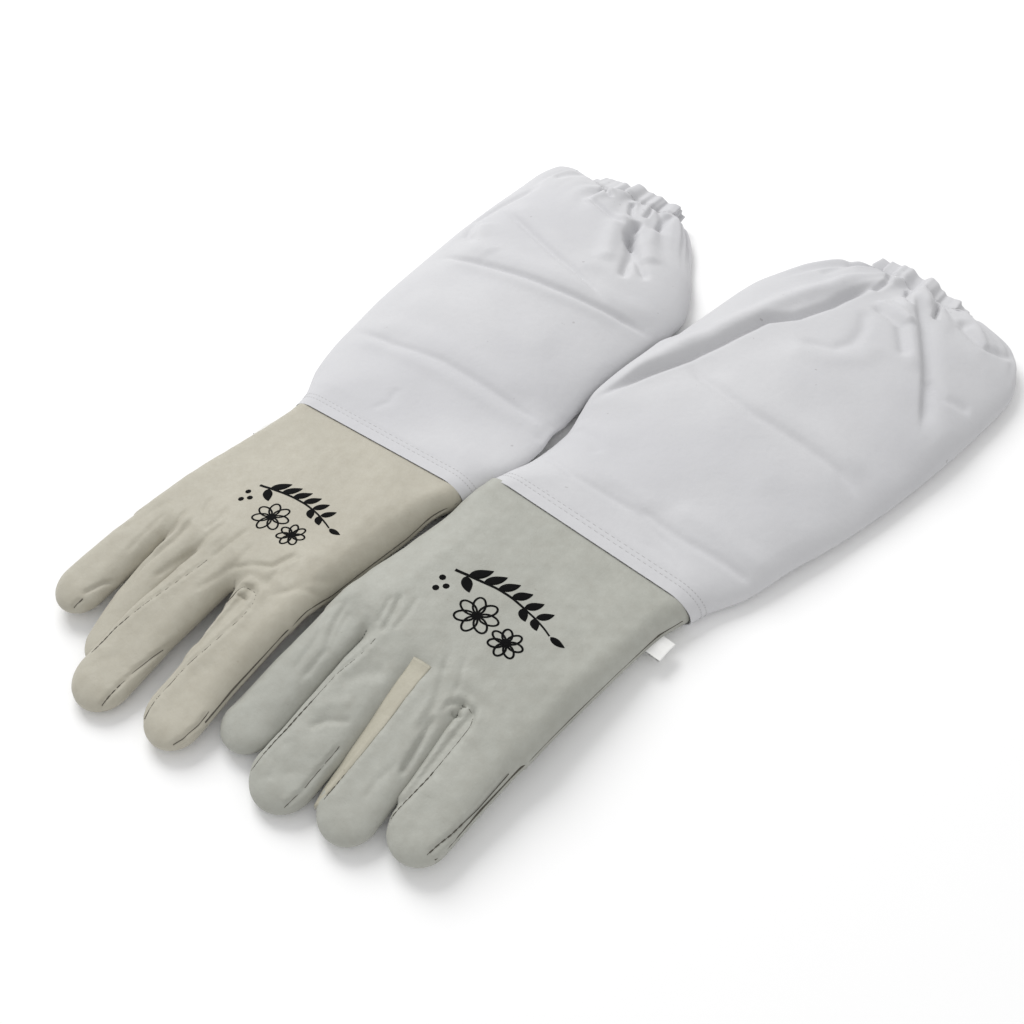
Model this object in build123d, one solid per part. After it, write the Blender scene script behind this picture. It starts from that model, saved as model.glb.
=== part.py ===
"""A pair of long beekeeping gloves, lying side by side on their palms.

Each glove is a soft leather hand sewn to a white canvas sleeve, whose end is gathered by an
elastic band in a hem casing. Each finger stall is a back panel and a palm panel joined by
side strips (fourchettes). The thumb is tucked under the palm.

Frame: +Y runs from the fingertips to the cuffs, +X from the right glove to the left glove,
+Z up. The origin is the centre of the pair's footprint, on the surface they lie on.
In a glove's own frame, x runs from the thumb side to the little finger side and y = 0 is the
seam between the leather and the canvas.
"""

from build123d import *
import math
import os

# Driving dimensions, in millimetres.
LEATHER = 1.1  # thickness of the leather
CANVAS = 0.8  # thickness of the canvas
GLOVE_PITCH = 125.2  # between the two gloves' centre lines
GLOVE_STAGGER = 17.4  # the left glove lies this much further towards the cuffs
HAND_LENGTH = 102.0  # from the leather and canvas seam to the finger roots
WRIST_GAP = 0.4  # between the hand and the sleeve, which fold about the seam's upper edge
KNUCKLE_GAP = 4.0  # between the hand and the finger stalls, so that they can bend both ways
STALL_GAP = 0.7  # between neighbouring finger stalls

# The hand's middle surface rises from the seam to the finger roots, over the tucked thumb,
# and falls from the thumb side to the little finger side.
SEAM_MIDDLE = 10.5
ROOT_MIDDLE = 17.0
SIDE_SLOPE = 0.07
FINGER_TIP_MIDDLE = 5.4

# Hand sections: y, thumb side x, little finger side x, height above and below the middle.
HAND_SECTIONS = [
    (0.0, -61.5, 62.0, 9.5, 6.0),
    (-25.0, -60.0, 59.0, 10.5, 6.0),
    (-60.0, -60.5, 57.5, 11.0, 6.0),
    (-HAND_LENGTH, -61.5, 57.0, 10.0, 6.0),
]

# Finger stalls: root centre x, root half width, tip centre x, half width, tip y.
FINGERS = {
    "right": {
        "index": (-44.5, 16.5, -47.5, 15.0, -188.0),
        "middle": (-9.5, 15.5, -12.5, 15.0, -198.0),
        "ring": (19.0, 11.5, 15.5, 12.0, -184.0),
        "pinky": (43.5, 11.5, 42.5, 13.0, -169.0),
    },
    "left": {
        "index": (-47.5, 13.0, -46.0, 13.5, -184.0),
        "middle": (-20.0, 13.5, -17.5, 14.5, -197.0),
        "ring": (8.5, 13.5, 12.5, 14.0, -186.0),
        "pinky": (38.5, 14.5, 41.0, 13.5, -177.0),
    },
}
STALL_ROOT_RISE = 7.4  # half the stall's height at its root
STALL_TIP_RISE = 5.2  # half its height near the tip
# Along a stall: share of its length, share of its half width, share of its height.
STALL_SHAPE = [
    (0.0, None, 1.0),
    (0.35, 1.0, 1.0),
    (0.7, 1.0, 1.0),
    (0.88, 0.82, 0.94),
    (0.96, 0.56, 0.8),
    (1.0, 0.2, 0.5),
]
FOURCHETTE_HEIGHT = 5.0
# The sides of each stall that have a fourchette: -1 faces the thumb, +1 the little finger.
FOURCHETTE_SIDES = {"index": [1], "middle": [-1, 1], "ring": [-1, 1], "pinky": [-1]}
SIDE_NAMES = {-1: "inner", 1: "outer"}

THUMB_ROOT = (-40.0, -46.0)
THUMB_LENGTH = 56.0
THUMB_TURN = 18.0  # degrees that the tucked thumb points inwards
THUMB_HALF_WIDTH = 14.0
THUMB_RISE = 4.7
THUMB_MIDDLE = 4.9
# Along the thumb: share of its length, share of its half width, share of its height.
THUMB_SHAPE = [
    (0.0, 0.86, 1.0),
    (0.35, 1.0, 1.0),
    (0.7, 0.95, 0.95),
    (0.88, 0.72, 0.85),
    (1.0, 0.3, 0.5),
]

# Sleeve sections: y, thumb side x, little finger side x, middle z, height above, height below.
SLEEVE_SECTIONS = {
    "right": [
        (WRIST_GAP, -61.5, 63.0, SEAM_MIDDLE, 9.0, 6.0),
        (30.0, -61.0, 80.0, 7.6, 12.5, 6.0),
        (75.0, -60.5, 96.0, 5.0, 17.0, 5.2),
        (140.0, -60.5, 108.0, 4.8, 20.0, 5.0),
        (200.0, -59.0, 116.0, 4.8, 21.0, 5.0),
        (240.0, -42.0, 118.0, 4.8, 19.5, 5.0),
        (264.0, -21.0, 113.0, 4.8, 16.5, 5.0),
        (277.0, -8.0, 98.0, 5.2, 13.5, 5.2),
        (286.0, 6.0, 80.0, 6.4, 11.0, 5.6),
    ],
    "left": [
        (WRIST_GAP, -61.5, 63.0, SEAM_MIDDLE, 9.0, 6.0),
        (30.0, -61.5, 76.0, 7.6, 12.5, 6.0),
        (75.0, -61.5, 88.0, 5.0, 17.0, 5.2),
        (140.0, -61.5, 102.0, 4.8, 20.0, 5.0),
        (200.0, -61.0, 111.0, 4.8, 21.0, 5.0),
        (248.0, -56.0, 110.0, 4.8, 19.5, 5.0),
        (273.0, -44.0, 103.0, 4.8, 16.5, 5.0),
        (287.0, -27.0, 88.0, 5.2, 13.5, 5.2),
        (296.0, -8.0, 68.0, 6.4, 11.0, 5.6),
    ],
}

CASING_LENGTH = 15.0
CASING_HALF_WIDTH = 36.0
CASING_RISE = 9.6
TUNNEL = 2.4  # the casing's tunnel, across
ELASTIC = 1.4  # thickness of the elastic band
ELASTIC_WIDTH = 11.0

SEAM_BAND_LENGTH = 8.0
SEAM_BAND = 1.3
SEAM_CLEARANCE = 0.35
SIDE_STRIP = (3.4, 1.0)  # the sleeve's side seam allowance: width and thickness
SIDE_STRIP_SECTIONS = 5  # how many sleeve sections it reaches along

LABEL = (6.5, 13.0, 0.6)  # how far it stands out, its length along Y, and its thickness
LABEL_Y = -24.0
LABEL_EDGE = 59.8  # just outside the hand's little finger side

GLOVES = {"right": -1, "left": 1}  # which way a glove's own x runs along the row's X


def glove_origin(side):
    """Row position of a glove's seam centre, before the pair is centred."""
    way = GLOVES[side]
    return way * GLOVE_PITCH / 2, way * GLOVE_STAGGER / 2


def hand_middle(x, y):
    """Height of the hand's middle surface at a point of the glove's own frame."""
    share = -y / HAND_LENGTH
    return SEAM_MIDDLE + (ROOT_MIDDLE - SEAM_MIDDLE) * share - SIDE_SLOPE * x


def section_plane(side, x, y, z, slope=0.0):
    """A plane across the glove at y, with its own x across the glove and its own y up."""
    x0, y0 = glove_origin(side)
    way = GLOVES[side]
    across = Vector(1, 0, -way * slope)
    return Plane(origin=(x0 + way * x, y0 + y, z), x_dir=across, z_dir=(0, -1, 0))


def half_ring(plane, half_width, rise, wall, up):
    """The outline of half a flattened tube's wall, above or below its middle line."""
    start, end = (0.0, 180.0) if up else (180.0, 360.0)
    outer = Edge.make_ellipse(half_width, rise, plane, start, end)
    inner = Edge.make_ellipse(half_width - wall, rise - wall, plane, start, end)
    return Wire([
        outer,
        Edge.make_line(outer @ 1, inner @ 1),
        inner,
        Edge.make_line(inner @ 0, outer @ 0),
    ])


def ring_section(plane, half_width, rise):
    return Wire([Edge.make_ellipse(half_width, rise, plane)])


def hand_panel(side, up):
    """The leather back (up) or palm of the hand, from the seam to the finger roots."""
    wires = []
    for y, left, right, above, below in HAND_SECTIONS:
        x = (left + right) / 2
        plane = section_plane(side, x, y, hand_middle(x, y), SIDE_SLOPE)
        rise = above if up else below
        wires.append(half_ring(plane, (right - left) / 2, rise, LEATHER, up))
    return Solid.make_loft(wires)


def sleeve_panel(side, up):
    """The canvas over (up) or under the forearm, from the seam to the cuff."""
    wires = []
    for y, left, right, middle, above, below in SLEEVE_SECTIONS[side]:
        slope = SIDE_SLOPE if y == WRIST_GAP else 0.0
        plane = section_plane(side, (left + right) / 2, y, middle, slope)
        rise = above if up else below
        wires.append(half_ring(plane, (right - left) / 2, rise, CANVAS, up))
    return Solid.make_loft(wires, ruled=True)


def flatten_underside(shape):
    """Cuts the underside off at z = 0, so that the sleeve rests on a flat face."""
    room = Box(600, 800, 200, align=(Align.CENTER, Align.CENTER, Align.MIN))
    return shape & room


def stall_sections(side, finger, inset):
    """Half widths, heights and places of a stall's sections, drawn in by inset."""
    root_x, root_half, tip_x, half, tip_y = FINGERS[side][finger]
    root_y = -HAND_LENGTH - KNUCKLE_GAP
    root_z = hand_middle(root_x, -HAND_LENGTH)
    found = []
    for share, width_share, height_share in STALL_SHAPE:
        wide = root_half if width_share is None else half * width_share
        rise = STALL_ROOT_RISE + (STALL_TIP_RISE - STALL_ROOT_RISE) * share
        found.append((
            root_x + (tip_x - root_x) * min(1.0, 1.3 * share),
            root_y + (tip_y - root_y) * share,
            root_z + (FINGER_TIP_MIDDLE - root_z) * share,
            wide - STALL_GAP / 2 - inset,
            rise * height_share - inset,
        ))
    return found


def stall_middle_plane(side, finger, offset):
    """A plane along a stall, offset from its middle surface, with its normal up."""
    root_x, _, _, _, tip_y = FINGERS[side][finger]
    x0, y0 = glove_origin(side)
    root_z = hand_middle(root_x, -HAND_LENGTH)
    root_y = -HAND_LENGTH - KNUCKLE_GAP
    fall = (root_z - FINGER_TIP_MIDDLE) / (root_y - tip_y)
    return Plane(origin=(x0, y0 + root_y, root_z + offset), x_dir=(1, 0, 0), z_dir=(0, -fall, 1))


def above(plane):
    """A block that fills the space above a plane."""
    block = Box(400, 400, 60, align=(Align.CENTER, Align.CENTER, Align.MIN))
    return plane * block


def finger_stall(side, finger):
    """A finger's back panel, palm panel and fourchettes, by name."""
    outer_sections = stall_sections(side, finger, 0.0)
    inner_sections = stall_sections(side, finger, LEATHER)[:-1]
    planes = [section_plane(side, x, y, z) for x, y, z, _, _ in outer_sections]
    outer = Solid.make_loft([
        ring_section(plane, wide, rise)
        for plane, (_, _, _, wide, rise) in zip(planes, outer_sections)
    ], ruled=True)
    inner_planes = [planes[0].offset(-1.0)] + planes[1:-1]
    inner = Solid.make_loft([
        ring_section(plane, wide, rise)
        for plane, (_, _, _, wide, rise) in zip(inner_planes, inner_sections)
    ], ruled=True)
    shell = outer - inner
    high = above(stall_middle_plane(side, finger, FOURCHETTE_HEIGHT / 2))
    low = above(stall_middle_plane(side, finger, -FOURCHETTE_HEIGHT / 2))
    back = shell & high
    palm = shell - low
    strip = (shell & low) - high
    root_x = FINGERS[side][finger][0]
    tip_x = FINGERS[side][finger][2]
    x0, y0 = glove_origin(side)
    way = GLOVES[side]
    centre = x0 + way * (root_x + tip_x) / 2
    pieces = {"back": back}
    for edge in (-1, 1):
        half_space = Box(200, 400, 100).moved(Location((centre + way * edge * 100, y0 - 150, 0)))
        strip_half = strip & half_space
        if edge in FOURCHETTE_SIDES[finger]:
            pieces[f"{SIDE_NAMES[edge]}_fourchette"] = strip_half
        else:
            palm = palm + strip_half
    pieces["palm"] = palm
    return pieces


def thumb_stall(side):
    """The tucked thumb's upper and lower halves, by name."""
    way = GLOVES[side]
    x0, y0 = glove_origin(side)
    root = Vector(x0 + way * THUMB_ROOT[0], y0 + THUMB_ROOT[1], THUMB_MIDDLE)
    turn = math.radians(THUMB_TURN)
    along = Vector(way * math.sin(turn), -math.cos(turn), 0)
    shape_inside = THUMB_SHAPE[:-1]

    def section(share, width_share, height_share, inset, extra=0.0):
        plane = Plane(origin=root + along * (THUMB_LENGTH * share - extra),
                      x_dir=along.rotate(Axis.Z, 90), z_dir=along)
        wide = THUMB_HALF_WIDTH * width_share - inset
        return ring_section(plane, wide, THUMB_RISE * height_share - inset)

    outer = Solid.make_loft([section(*s, 0.0) for s in THUMB_SHAPE], ruled=True)
    first = section(*shape_inside[0], LEATHER, 1.0)
    inner = Solid.make_loft([first] + [section(*s, LEATHER) for s in shape_inside[1:]], ruled=True)
    shell = outer - inner
    upper = above(Plane(origin=root))
    return {"back": shell & upper, "palm": shell - upper}


def cuff_plane(side, offset):
    """The plane across the cuff's end, offset along the glove from where the casing starts."""
    y, left, right, _, _, _ = SLEEVE_SECTIONS[side][-1]
    x0, y0 = glove_origin(side)
    way = GLOVES[side]
    start = Plane(origin=(x0 + way * (left + right) / 2, y0 + y, CASING_RISE + 0.3),
                  x_dir=(1, 0, 0), z_dir=(0, 1, 0))
    return start.offset(offset)


def ring(plane, half_width, rise, wall, length):
    """A flattened ring of that wall and length, standing on a plane."""
    outer = Solid.extrude(Face(ring_section(plane, half_width, rise)), plane.z_dir * length)
    hole = Face(ring_section(plane, half_width - wall, rise - wall))
    return outer - Solid.extrude(hole, plane.z_dir * length)


def cuff(side):
    """The hem casing, a closed tunnel round the cuff, and the elastic band inside it."""
    wall = 2 * CANVAS + TUNNEL
    casing = ring(cuff_plane(side, 0), CASING_HALF_WIDTH, CASING_RISE, wall, CASING_LENGTH)
    tunnel = ring(cuff_plane(side, CANVAS), CASING_HALF_WIDTH - CANVAS, CASING_RISE - CANVAS,
                  TUNNEL, CASING_LENGTH - 2 * CANVAS)
    slack = (TUNNEL - ELASTIC) / 2
    start = (CASING_LENGTH - ELASTIC_WIDTH) / 2
    elastic = ring(cuff_plane(side, start), CASING_HALF_WIDTH - CANVAS - slack,
                   CASING_RISE - CANVAS - slack, ELASTIC, ELASTIC_WIDTH)
    return {"cuff_casing": casing - tunnel, "cuff_elastic": elastic}


def wrist_seam(side):
    """The seam allowance of leather and canvas turned inside the hand at the wrist."""
    inset = LEATHER + SEAM_CLEARANCE
    _, left, right, rise_up, rise_down = HAND_SECTIONS[0]
    halves = []
    for up, rise in ((True, rise_up), (False, rise_down)):
        wires = []
        for along in (-0.6, -SEAM_BAND_LENGTH):
            x = (left + right) / 2
            plane = section_plane(side, x, along, hand_middle(x, along), SIDE_SLOPE)
            half = (right - left) / 2 - inset - 0.8
            wires.append(half_ring(plane, half, rise - inset, SEAM_BAND, up))
        halves.append(Solid.make_loft(wires, ruled=True))
    return halves[0] + halves[1]


def side_strip(side):
    """The allowance of the sleeve's side seam, inside its thumb side edge."""
    wide, thick = SIDE_STRIP
    wires = []
    for y, left, _, middle, _, _ in SLEEVE_SECTIONS[side][1:SIDE_STRIP_SECTIONS]:
        plane = section_plane(side, left + CANVAS + 1.3 + wide / 2, y, middle + 0.2)
        wires.append(Wire.make_rect(wide, thick, plane))
    return Solid.make_loft(wires, ruled=True)


def care_label(side):
    """A small folded tab, sewn in the little finger side's seam."""
    out, long, thick = LABEL
    way = GLOVES[side]
    x0, y0 = glove_origin(side)
    place = (x0 + way * (LABEL_EDGE + out / 2), y0 + LABEL_Y, hand_middle(LABEL_EDGE, LABEL_Y))
    return Box(out, long, thick).moved(Location(place))


def glove(side):
    """Every piece of one glove, by node name, resting on z = 0."""
    pieces = {
        "hand_back": hand_panel(side, True),
        "hand_palm": hand_panel(side, False),
        "wrist_seam": wrist_seam(side),
        "care_label": care_label(side),
        "sleeve_back": sleeve_panel(side, True),
        "sleeve_front": flatten_underside(sleeve_panel(side, False)),
        "sleeve_seam": side_strip(side),
    }
    pieces.update(cuff(side))
    for name, piece in thumb_stall(side).items():
        pieces[f"thumb_{name}"] = piece
    for finger in FINGERS[side]:
        for name, piece in finger_stall(side, finger).items():
            pieces[f"{finger}_{name}"] = piece
    return {f"{side}_{name}": piece for name, piece in pieces.items()}


def main():
    os.makedirs("parts", exist_ok=True)
    nodes = {}
    for side in GLOVES:
        nodes.update(glove(side))
    boxes = [piece.bounding_box() for piece in nodes.values()]
    low = [min(tuple(box.min)[i] for box in boxes) for i in range(3)]
    high = [max(tuple(box.max)[i] for box in boxes) for i in range(3)]
    shift = Vector(-(low[0] + high[0]) / 2, -(low[1] + high[1]) / 2, 0)
    for name, piece in nodes.items():
        export_step(piece.moved(Location(shift)), f"parts/{name}.step")
    print("centred by", shift, "size", [round(b - a, 2) for a, b in zip(low, high)])
    return shift


CENTRING = main()
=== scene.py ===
"""The looks of a pair of long beekeeping gloves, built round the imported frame."""

import math

import bpy
import numpy as np
from mathutils import Matrix, Vector


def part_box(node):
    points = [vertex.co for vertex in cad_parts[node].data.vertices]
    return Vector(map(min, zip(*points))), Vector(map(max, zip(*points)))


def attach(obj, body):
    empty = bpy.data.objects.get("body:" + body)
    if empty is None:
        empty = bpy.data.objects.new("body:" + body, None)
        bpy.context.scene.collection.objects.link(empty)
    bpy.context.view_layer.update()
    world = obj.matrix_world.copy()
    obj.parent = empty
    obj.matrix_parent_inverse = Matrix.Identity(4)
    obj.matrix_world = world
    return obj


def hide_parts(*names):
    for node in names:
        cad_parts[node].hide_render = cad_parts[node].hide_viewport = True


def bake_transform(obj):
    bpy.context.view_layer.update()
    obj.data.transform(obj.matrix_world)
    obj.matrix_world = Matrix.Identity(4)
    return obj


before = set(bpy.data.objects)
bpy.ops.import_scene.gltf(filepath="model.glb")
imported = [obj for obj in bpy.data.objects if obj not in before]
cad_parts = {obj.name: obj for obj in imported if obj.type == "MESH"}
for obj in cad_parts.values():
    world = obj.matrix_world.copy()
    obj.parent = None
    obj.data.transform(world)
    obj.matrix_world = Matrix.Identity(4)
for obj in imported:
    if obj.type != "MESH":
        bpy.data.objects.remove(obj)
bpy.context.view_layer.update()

# A glove's own frame is in millimetres: x runs from the thumb side to the little finger side,
# y is 0 at the seam between leather and canvas and negative towards the fingertips, z is up.
MM = 0.001
WAY = {"right": -1, "left": 1}
SIDES = ("right", "left")
FINGER_NAMES = ("index", "middle", "ring", "pinky")
SEED = {"right": 0, "left": 1}  # added to every random seed, so that the gloves differ
LEATHER = 1.1
CANVAS = 0.8
NET_STEP = 1.1  # spacing of the grid that the leather's surface is found on
FINGER_REACH = 26  # how far a stall's own grid reaches to each side of its root's middle
ROOT_Y = -110.0  # where the finger stalls part from the hand
WEB_Y = -113.0  # how far the hand's own leather reaches between the stalls
WRIST_BEND = 40.0  # length of leather from the wrist that blend_along is given; no bend is spread over it
FINGER_BEND = 26.0  # the same at a finger's root
HAND_LENGTH = 102.0
# Heights of the leather's middle surface: at the seam, at the fingers' roots, at their tips.
SEAM_MIDDLE, ROOT_MIDDLE, TIP_MIDDLE = 10.5, 17.0, 6.2
SIDE_SLOPE = 0.07  # how the hand leans down towards the little finger
THUMB_DROP = 4.5  # how much its thumb side droops again
EDGE_ROUND = 10.0  # how far in from its outline a stall or the hand reaches full thickness


def wrist_origin(side):
    """The row position of the middle of a glove's seam, from its hand's CAD box."""
    low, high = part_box(f"{side}_hand_back")
    return (low[0] + high[0]) / 2, high[1]


ORIGIN = {side: wrist_origin(side) for side in SIDES}


def to_row(side, points):
    """Glove coordinates in millimetres to row coordinates in metres."""
    points = np.asarray(points, float)
    x0, y0 = ORIGIN[side]
    out = points * MM
    out[..., 0] = x0 + WAY[side] * points[..., 0] * MM
    out[..., 1] += y0
    return out


def ease(value, start, end):
    """A smooth step from 0 at start to 1 at end."""
    share = np.clip((value - start) / (end - start), 0, 1)
    return share * share * (3 - 2 * share)


def along(line, value):
    """The second number of a list of pairs, read smoothly at a value of the first."""
    keys = np.array(line, float)
    order = np.argsort(keys[:, 0])
    return np.interp(value, keys[order, 0], keys[order, 1])


def soft_min(a, b, reach):
    mix = np.clip(0.5 + 0.5 * (b - a) / reach, 0, 1)
    return b + (a - b) * mix - reach * mix * (1 - mix)


def read_lines(text):
    """Marks from a text table: each row's line, height and width."""
    marks = []
    for row in text.strip().splitlines():
        size, points = ([float(word) for word in part.split()] for part in row.split(":"))
        marks.append((list(zip(points[::2], points[1::2])), *size))
    return marks


def line_distance(x, y, line):
    """Distance to a polyline and the share of its length at the nearest point."""
    line = np.array(line, float)
    lengths = np.hypot(*np.diff(line, axis=0).T)
    ends = np.concatenate([[0], np.cumsum(lengths)])
    best = np.full(np.shape(x), 1e9)
    share = np.zeros(np.shape(x))
    for i, length in enumerate(lengths):
        (ax, ay), (bx, by) = line[i], line[i + 1]
        t = np.clip(((x - ax) * (bx - ax) + (y - ay) * (by - ay)) / length ** 2, 0, 1)
        gap = np.hypot(x - ax - t * (bx - ax), y - ay - t * (by - ay))
        nearer = gap < best
        best = np.where(nearer, gap, best)
        share = np.where(nearer, (ends[i] + t * length) / ends[-1], share)
    return best, share


def crease(x, y, line, height, width, fade=0.15):
    """A soft ridge (or a groove, with a negative height) along a line, fading at its ends."""
    gap, share = line_distance(x, y, line)
    ends = ease(share, 0, fade) * ease(1 - share, 0, fade) if fade else 1.0
    return height * ends * np.exp(-((gap / width) ** 2))


def step_fold(x, y, line, height, width):
    """A fold with a gentle side and a steep side, as where cloth tucks under itself."""
    line = np.array(line, float)
    gap, share = line_distance(x, y, line)
    ends = ease(share, 0, 0.2) * ease(1 - share, 0, 0.2)
    near = np.clip((share * (len(line) - 1)).astype(int), 0, len(line) - 2)
    step = line[near + 1] - line[near]
    cross = step[..., 0] * (y - line[near][..., 1]) - step[..., 1] * (x - line[near][..., 0])
    signed = np.sign(cross) * gap
    gentle = np.exp(-((signed / width) ** 2))
    steep = np.exp(-((signed / (0.3 * width)) ** 2))
    return height * ends * np.where(signed > 0, gentle, steep)


def lumps(x, y, scale, seed):
    """Smooth uneven swelling from about -1 to 1, the same on every run."""
    rng = np.random.default_rng(seed)
    total = np.zeros(np.shape(x))
    for _ in range(7):
        angle = rng.uniform(0, 2 * np.pi)
        pitch = rng.uniform(0.6, 1.7) * 2 * np.pi / scale
        phase = rng.uniform(0, 2 * np.pi)
        total += np.sin(pitch * (x * np.cos(angle) + y * np.sin(angle)) + phase)
    return total / 3.5


# ---------------------------------------------------------------- the leather hand

# Hand outline: thumb side and little finger side, as x for each y.
HAND_EDGES = {
    "right": (
        [(-113, -57.6), (-100, -57), (-87, -51.4), (-72, -46.8), (-56, -45.6), (-40, -47.4), (-25, -52.6),
         (-8, -61), (0, -61.5), (10, -61.5)],
        [(-110, 57), (-90, 57.5), (-60, 58.5), (-30, 59.5), (-12, 61), (0, 62.3), (10, 62.3)],
    ),
    "left": (
        [(-113, -62), (-104, -62.6), (-95, -64.5), (-84, -65.2), (-68, -64.2), (-50, -63.2), (-32, -62.4),
         (-14, -61.6), (0, -61.5), (10, -61.5)],
        [(-110, 54.5), (-90, 55), (-50, 56), (-20, 57.5), (0, 62), (10, 62)],
    ),
}
# Finger stalls: the centre line as (y, x), the half width at the root and near the tip.
FINGERS = {
    "right": {
        "index": ([(-70, -42), (-110, -43), (-150, -45), (-190, -50)], 15.0, 15.2, -187),
        "middle": ([(-70, -5), (-110, -3), (-150, -3.6), (-200, -9.5)], 14.5, 15.6, -195),
        "ring": ([(-70, 21), (-110, 20.5), (-130, 19.5), (-148, 16.5), (-163, 11.5), (-182, 4)],
                 11.0, 10.0, -179),
        "pinky": ([(-70, 44), (-110, 44), (-150, 42.6), (-172, 40.5)], 13.0, 13.4, -169),
    },
    "left": {
        "index": ([(-70, -50), (-110, -50.2), (-150, -50.6), (-190, -49.5)], 12.2, 13.0, -185),
        "middle": ([(-70, -24), (-110, -24), (-150, -22.5), (-198, -19)], 14.6, 15.8, -194.5),
        "ring": ([(-70, 5.5), (-110, 6.5), (-150, 9.5), (-188, 13)], 14.6, 14.4, -187),
        "pinky": ([(-70, 38), (-110, 38.5), (-150, 40), (-178, 41)], 16.0, 14.0, -175.5),
    },
}


def middle_height(x, y):
    """Height of the leather's middle surface: up from the seam, down along the fingers."""
    up = SEAM_MIDDLE + (ROOT_MIDDLE - SEAM_MIDDLE) * np.clip(-y / HAND_LENGTH, 0, 1)
    up = up - SIDE_SLOPE * x * (1 - 0.7 * ease(-y, 100, 180))
    up = up - THUMB_DROP * ease(-x, 40, 60) * ease(-y, 8, 40) * (1 - ease(-y, 84, 108))
    down = np.clip((-y - HAND_LENGTH) / 84, 0, 1.2)
    return up + (TIP_MIDDLE - up) * down


# A fourchette that fills the fork between two stalls: the stall it goes with, its line, half width.
WEBS = {
    "right": ("index", [(-27, -108), (-29, -124), (-32, -150)], 7.0),
    "left": ("pinky", [(22, -108), (23, -124), (26, -156)], 5.6),
}


def finger_distance(side, finger, x, y):
    """Distance outside one finger stall's outline, negative inside it."""
    line, root, tip, end = FINGERS[side][finger]
    half = root + (tip - root) * ease(-y, 100, 160)
    centre = along(line, y)
    stop = end + tip
    beyond = np.minimum(y - stop, 0)
    gap = np.hypot(x - centre, beyond) - half
    owner, web, wide = WEBS[side]
    if finger != owner:
        return gap
    beside, share = line_distance(x, y, web)
    return soft_min(gap, beside - wide * (1 - 0.55 * share), 2.5)


def outline(side, x, y, fingers=FINGER_NAMES):
    """Distance outside the leather outline of the hand and some fingers, negative inside it."""
    left, right = HAND_EDGES[side]
    hand = np.maximum(along(left, y) - x, x - along(right, y))
    hand = np.maximum(hand, WEB_Y - y)
    stalls = np.min([finger_distance(side, f, x, y) for f in fingers], axis=0)
    return soft_min(hand, stalls, 4.0)


def sunk(side, y, fingers):
    """How much lower a stall lies than the others: the right ring finger is tucked under."""
    if side == "right" and len(fingers) == 1 and "ring" in fingers:
        return 3.2 * ease(-y, 112, 150)
    return 0.0


def fullness(depth, reach=EDGE_ROUND):
    """Share of the full thickness at a depth inside the outline."""
    share = 1 - np.clip(depth / reach, 0, 1)
    return np.sqrt(np.clip(1 - share * share, 0, 1))


def top_rise(y):
    """Full height of the leather above its middle surface."""
    rise = 9.5 + 1.0 * ease(-y, 0, 60) - 1.6 * ease(-y, 80, 110)
    return rise - 3.9 * ease(-y, 116, 182)


def under_rise(y):
    """Full depth of the leather below its middle surface."""
    return 6.0 - 1.2 * ease(-y, 120, 185)


def leather_field(side, x, y, z, fingers=FINGER_NAMES):
    """Negative inside the glove's hand."""
    inside = -outline(side, x, y, fingers)
    sink = sunk(side, y, fingers)
    up = z - middle_height(x, y) + 0.4 * sink
    rise = np.where(up > 0, top_rise(y) - 0.6 * sink, under_rise(y))
    height = np.abs(up) / rise
    across = 1 - np.clip(inside / EDGE_ROUND, -1, 1)
    return (np.sqrt(height ** 2 + across ** 2) - 1) * 8.0


def top_height(side, x, y, fingers=FINGER_NAMES):
    """Height of the leather's upper surface at points inside the outline."""
    sink = sunk(side, y, fingers)
    share = fullness(-outline(side, x, y, fingers))
    smooth = middle_height(x, y) - 0.4 * sink + (top_rise(y) - 0.6 * sink) * share
    return smooth + leather_marks(side, x, y, True) * np.clip(share * 1.2, 0, 1)


def surface_net(field, low, high, step):
    """A quad mesh of the surface where a field is zero: vertices and faces."""
    axes = [np.arange(a, b + step, step) for a, b in zip(low, high)]
    values = field(*np.meshgrid(*axes, indexing="ij"))
    inside = values < 0
    cells = np.array(values.shape) - 1
    total, count = np.zeros((*cells, 3)), np.zeros(cells)
    for axis in range(3):
        one, two = (a for a in range(3) if a != axis)
        a = np.moveaxis(values, axis, 0)
        changes = (a[:-1] < 0) != (a[1:] < 0)
        share = np.where(changes, a[:-1] / np.where(changes, a[:-1] - a[1:], 1), 0)
        changes, share = np.moveaxis(changes, 0, axis), np.moveaxis(share, 0, axis)
        for i, j in np.ndindex(2, 2):
            cut = [slice(None)] * 3
            cut[one], cut[two] = slice(i, cells[one] + i), slice(j, cells[two] + j)
            part = changes[tuple(cut)]
            total[..., axis] += np.where(part, share[tuple(cut)], 0)
            total[..., one] += np.where(part, i, 0)
            total[..., two] += np.where(part, j, 0)
            count += part
    live = count > 0
    number = np.full(live.shape, -1)
    number[live] = np.arange(live.sum())
    corner = np.stack(np.nonzero(live), -1)
    points = np.array(low) + (corner + total[live] / count[live][:, None]) * step
    faces = []
    for axis in range(3):
        others = [a for a in range(3) if a != axis]
        cut_low = [slice(1, -1)] * 3
        cut_low[axis] = slice(0, -1)
        cut_high = [slice(1, -1)] * 3
        cut_high[axis] = slice(1, None)
        a, b = inside[tuple(cut_low)], inside[tuple(cut_high)]
        where = np.stack(np.nonzero(a != b), -1)
        out_going = a[a != b]
        where[:, others] += 1
        cells = []
        for i, j in ((1, 1), (0, 1), (0, 0), (1, 0)):
            cell = where.copy()
            cell[:, others[0]] -= i
            cell[:, others[1]] -= j
            cells.append(number[tuple(cell.T)])
        quad = np.stack(cells, -1)
        flip = out_going if axis != 1 else ~out_going
        quad[~flip] = quad[~flip][:, ::-1]
        faces.append(quad)
    faces = np.concatenate(faces)
    return points, faces[(faces >= 0).all(axis=1)]


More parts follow.
